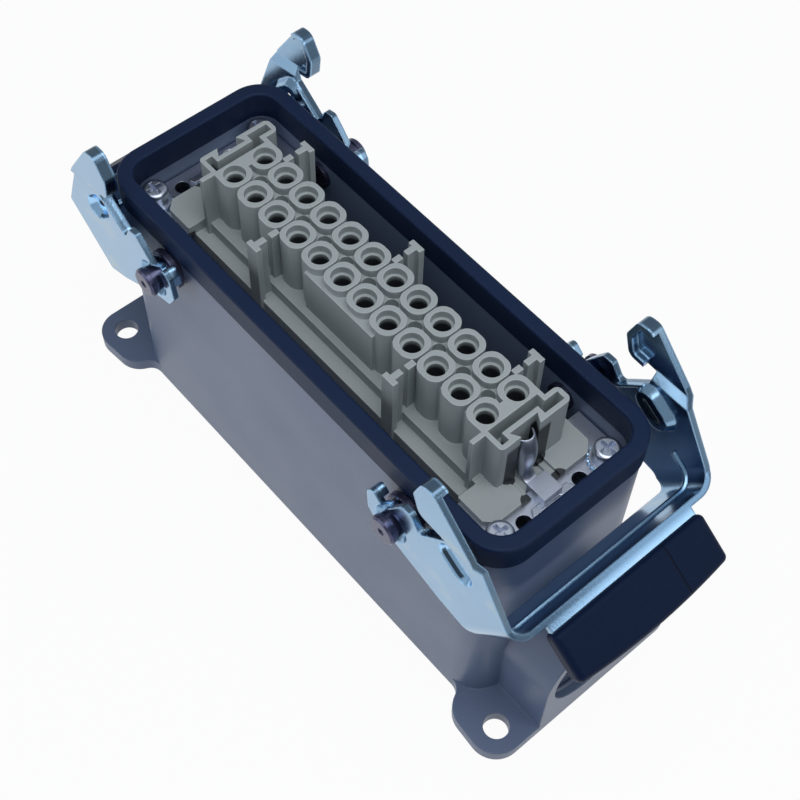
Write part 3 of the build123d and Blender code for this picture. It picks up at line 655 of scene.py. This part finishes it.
class CONNECTOR_OT_entry_thread(bpy.types.Operator):
    """Winds the thread's ridge round the inside of the cable entry"""
    bl_idname = "connector.entry_thread"
    bl_label = "Entry thread"

    def execute(self, context):
        detail = context.scene.connector_detail
        entry = next(mount for mount in frame["record"]["mounts"] if mount["name"] == "cable_entry")
        mouth = Vector(entry["pos_m"])
        radius = entry["dims"]["r_mm"] * MM
        around = 48
        fading = 30
        start = 1.2 * MM
        sunk = 0.1 * MM
        height = detail.thread_height
        foot = detail.thread_pitch * 0.42
        crest = foot * 0.25
        # The ridge's section: along the bore, and out from its wall
        profile = ((-foot, sunk), (-crest, -height), (crest, -height), (foot, sunk))
        rows = int(detail.thread_length / detail.thread_pitch * around)
        points = []
        for row in range(rows):
            turn = math.tau * row / around
            into = start + detail.thread_pitch * row / around
            fade = min(1, row / fading, (rows - 1 - row) / fading)
            for along, rise in profile:
                reach = radius + (rise if rise > 0 else rise * fade)
                offset = Vector((along - into, reach * math.cos(turn), reach * math.sin(turn)))
                points.append(mouth + offset)
        # Painted shade: the thread inside the entry takes the coat at 0.72 of its strength
        material = powder_coat("entry_thread", context.scene.connector_finish.coat, 0.72)
        new_piece("entry_thread", points, strip_faces(rows, len(profile)), material)
        return {"FINISHED"}


class CONNECTOR_OT_seal(bpy.types.Operator):
    """Finishes the rim seal in blue-black rubber"""
    bl_idname = "connector.seal"
    bl_label = "Rim seal"

    def execute(self, context):
        finish_with(seal_rubber(context.scene.connector_finish.rubber), "rim_seal")
        return {"FINISHED"}


class CONNECTOR_OT_insert(bpy.types.Operator):
    """Finishes the insert's body in pale moulded plastic"""
    bl_idname = "connector.insert"
    bl_label = "Insert body"

    def execute(self, context):
        low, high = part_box("contact_01")
        first = (low + high) / 2
        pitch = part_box("contact_02")[0].x - low.x
        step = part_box("insert_body")[1].z - BORE_STEP
        plastic = context.scene.connector_finish.plastic
        finish_with(insert_plastic(plastic, first, pitch, step), "insert_body")
        return {"FINISHED"}


class CONNECTOR_OT_metalwork(bpy.types.Operator):
    """Finishes the contacts, earth pieces, screws and pivot pins"""
    bl_idname = "connector.metalwork"
    bl_label = "Small metal pieces"

    def execute(self, context):
        finish = context.scene.connector_finish
        silver = zinc_plate("contact_silver", finish.silver, finish.silver, 0.3, 0.1 * MM)
        zinc = zinc_plate("screw_zinc", finish.tin, finish.zinc, 0.26, 0.15 * MM)
        finish_with(silver, "contact_")
        finish_with(brushed_tin(finish.tin), "earth_plate", "earth_spring", "earth_clamp")
        finish_with(zinc, "captive_screws", "terminal_screws", "earth_wire_screws")
        finish_with(dark_steel(finish.steel, frame["joints"][0]["pos_m"]), "pivot_pin")
        return {"FINISHED"}


class CONNECTOR_OT_earth_springs(bpy.types.Operator):
    """Bends the two earth springs: half tubes that stand out in the middle and run into a flat foot"""
    bl_idname = "connector.earth_springs"
    bl_label = "Earth springs"

    def execute(self, context):
        detail = context.scene.connector_detail
        tin = context.scene.connector_finish.tin
        material = zinc_plate("spring_tin", tin, tin, 0.36, 0.08 * MM)
        steps = 12
        bowed_rows = 5
        easing_rows = 3
        bulge_height, bulge_reach = 7 * MM, 6 * MM
        for end, side in ENDS:
            node = f"earth_spring_{end}"
            low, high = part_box(node)
            outer = outermost(node)
            foot = low.z + detail.spring_sheet / 2
            top = (high.z - foot) / MM
            # In mm: height above the foot, half width, and how far the sheet lies in from the foot's end
            rows = ((top, 1.75, 4.35), (top - 0.6, 1.8, 4.2), (9.5, 1.95, 3.75), (7.0, 2.02, 3.55),
                    (4.5, 1.95, 3.6), (2.6, 1.75, 3.7), (1.3, 1.5, 3.5), (0.5, 1.35, 3.0),
                    (0.0, 1.3, 2.2), (0.0, 1.3, 0.2))
            points = []
            for number, row in enumerate(rows):
                rise, half, back = [size * MM for size in row]
                bow = max(0, 1 - max(0, number - bowed_rows) / easing_rows)
                bulge = detail.spring_bulge * max(0, 1 - ((rise - bulge_height) / bulge_reach) ** 2)
                for step in range(steps + 1):
                    turn = math.pi * (step / steps - 0.5)
                    out = outer - back - half * (1 - math.cos(turn)) * bow + bulge
                    points.append(Vector((side * out, half * math.sin(turn), foot + rise)))
            faces = strip_faces(len(rows), steps + 1)
            piece = new_piece(f"{node}_bowed", points, faces, material, (node,))
            sheet = piece.modifiers.new("sheet", "SOLIDIFY")
            sheet.thickness = detail.spring_sheet
            sheet.offset = 0
            smooth = piece.modifiers.new("smooth", "SUBSURF")
            smooth.levels = smooth.render_levels = 2
        return {"FINISHED"}


class CONNECTOR_OT_earth_tabs(bpy.types.Operator):
    """Lays the cross piece of each earth tab on its plate, outside the clamp"""
    bl_idname = "connector.earth_tabs"
    bl_label = "Earth tabs"

    def execute(self, context):
        tin = context.scene.connector_finish.tin
        material = zinc_plate("tab_tin", tin, tin, 0.2, 0.12 * MM)
        half = context.scene.connector_detail.bar_half_width
        thickness = 0.5 * MM
        sunk = 0.05 * MM
        for end, side in ENDS:
            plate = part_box(f"earth_plate_{end}")[1].z
            clamp = outermost(f"earth_clamp_{end}")
            # Half of the plan, from its inner corner round the end to the notch in the middle
            outline = ((clamp - 1.0 * MM, half - 0.7 * MM), (clamp + 0.1 * MM, half),
                       (clamp + 0.6 * MM, half), (clamp + 0.6 * MM, 1.9 * MM), (clamp + 0.2 * MM, 1.6 * MM))
            plan = [*outline, *[(x, -y) for x, y in reversed(outline)]]
            points = [Vector((side * x, y, z)) for z in (plate - sunk, plate + thickness) for x, y in plan]
            count = len(plan)
            faces = [tuple(range(count, 2 * count)), *strip_faces(2, count, True)]
            piece = new_piece(f"earth_tab_{end}", points, faces, material, smooth=False)
            edge = piece.modifiers.new("rounded", "BEVEL")
            edge.width = 0.14 * MM
            edge.segments = 3
        return {"FINISHED"}


class CONNECTOR_OT_lock_washers(bpy.types.Operator):
    """Puts a toothed lock washer under each captive screw's head"""
    bl_idname = "connector.lock_washers"
    bl_label = "Lock washers"

    def execute(self, context):
        detail = context.scene.connector_detail
        finish = context.scene.connector_finish
        low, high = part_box("captive_screws")
        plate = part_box("earth_plate_near")[1].z
        head, inner, outer = 3.2 * MM, 2.0 * MM, 3.45 * MM
        notch, twist = 0.55 * MM, 0.12 * MM
        thickness = detail.washer_thickness
        # Round the washer's section: each ring's radius, and its height above the plate
        rings = ((inner, 0.3 * MM), (inner, thickness + 0.2 * MM), (outer, thickness), (outer, 0.05 * MM))
        steps = 4
        around = detail.washer_teeth * steps
        points, faces = [], []
        for x in (low.x + head, high.x - head):
            for y in (low.y + head, high.y - head):
                start = len(points)
                for radius, rise in rings:
                    rim = radius == outer
                    for step in range(around):
                        turn = math.tau * step / around
                        reach = radius - notch if rim and step % steps == 0 else radius
                        lift = max(0, twist * math.sin(turn * detail.washer_teeth)) if rim else 0
                        points.append(Vector((x + reach * math.cos(turn), y + reach * math.sin(turn),
                                              plate + rise + lift)))
                for face in strip_faces(len(rings), around, True):
                    faces.append(tuple(start + corner for corner in face))
        material = zinc_plate("washer_zinc", finish.zinc, finish.zinc_warm, 0.16, 0.06 * MM)
        new_piece("lock_washers", points, faces, material, smooth=False)
        return {"FINISHED"}


class CONNECTOR_OT_levers(bpy.types.Operator):
    """Finishes the two levers in bright zinc"""
    bl_idname = "connector.levers"
    bl_label = "Levers"

    def execute(self, context):
        finish = context.scene.connector_finish
        for joint in frame["joints"]:
            end = joint["name"].split("_")[0]
            lever = (joint["pos_m"], *LEVER_WAYS[end])
            zinc = zinc_plate(f"lever_zinc_{end}", finish.zinc, finish.zinc_warm, 0.12, 0.5 * MM, lever)
            finish_with(zinc, f"lever_{end}")
        return {"FINISHED"}


class CONNECTOR_OT_grips(bpy.types.Operator):
    """Finishes the two grips in blue-black plastic"""
    bl_idname = "connector.grips"
    bl_label = "Grips"

    def execute(self, context):
        finish_with(grip_plastic(context.scene.connector_finish.grip), "grip_")
        return {"FINISHED"}


STEPS = ("stage", "housing", "entry_thread", "seal", "insert", "metalwork", "earth_springs",
         "earth_tabs", "lock_washers", "levers", "grips")


class CONNECTOR_PT_panel(bpy.types.Panel):
    """Lists the connector's pieces and settings in the sidebar."""
    bl_idname = "CONNECTOR_PT_panel"
    bl_label = "Connector"
    bl_space_type = "VIEW_3D"
    bl_region_type = "UI"
    bl_category = "Connector"

    def draw(self, context):
        for step in STEPS:
            self.layout.operator(f"connector.{step}")
        scene = context.scene
        for group in (scene.connector_stage, scene.connector_detail, scene.connector_finish):
            for key in group.__annotations__:
                self.layout.prop(group, key)


CLASSES = (StageSettings, DetailSettings, FinishSettings, CONNECTOR_OT_stage, CONNECTOR_OT_housing,
           CONNECTOR_OT_entry_thread, CONNECTOR_OT_seal, CONNECTOR_OT_insert, CONNECTOR_OT_metalwork,
           CONNECTOR_OT_earth_springs, CONNECTOR_OT_earth_tabs, CONNECTOR_OT_lock_washers,
           CONNECTOR_OT_levers, CONNECTOR_OT_grips, CONNECTOR_PT_panel)


def register():
    """Registers the classes and their settings on the scene."""
    for item in CLASSES:
        bpy.utils.register_class(item)
    bpy.types.Scene.connector_stage = PointerProperty(type=StageSettings)
    bpy.types.Scene.connector_detail = PointerProperty(type=DetailSettings)
    bpy.types.Scene.connector_finish = PointerProperty(type=FinishSettings)


def unregister():
    """Takes the classes and their settings away again."""
    del bpy.types.Scene.connector_finish
    del bpy.types.Scene.connector_detail
    del bpy.types.Scene.connector_stage
    for item in reversed(CLASSES):
        bpy.utils.unregister_class(item)


def main():
    """Makes everything."""
    register()
    for step in STEPS:
        getattr(bpy.ops.connector, step)()


if __name__ == "__main__":
    main()
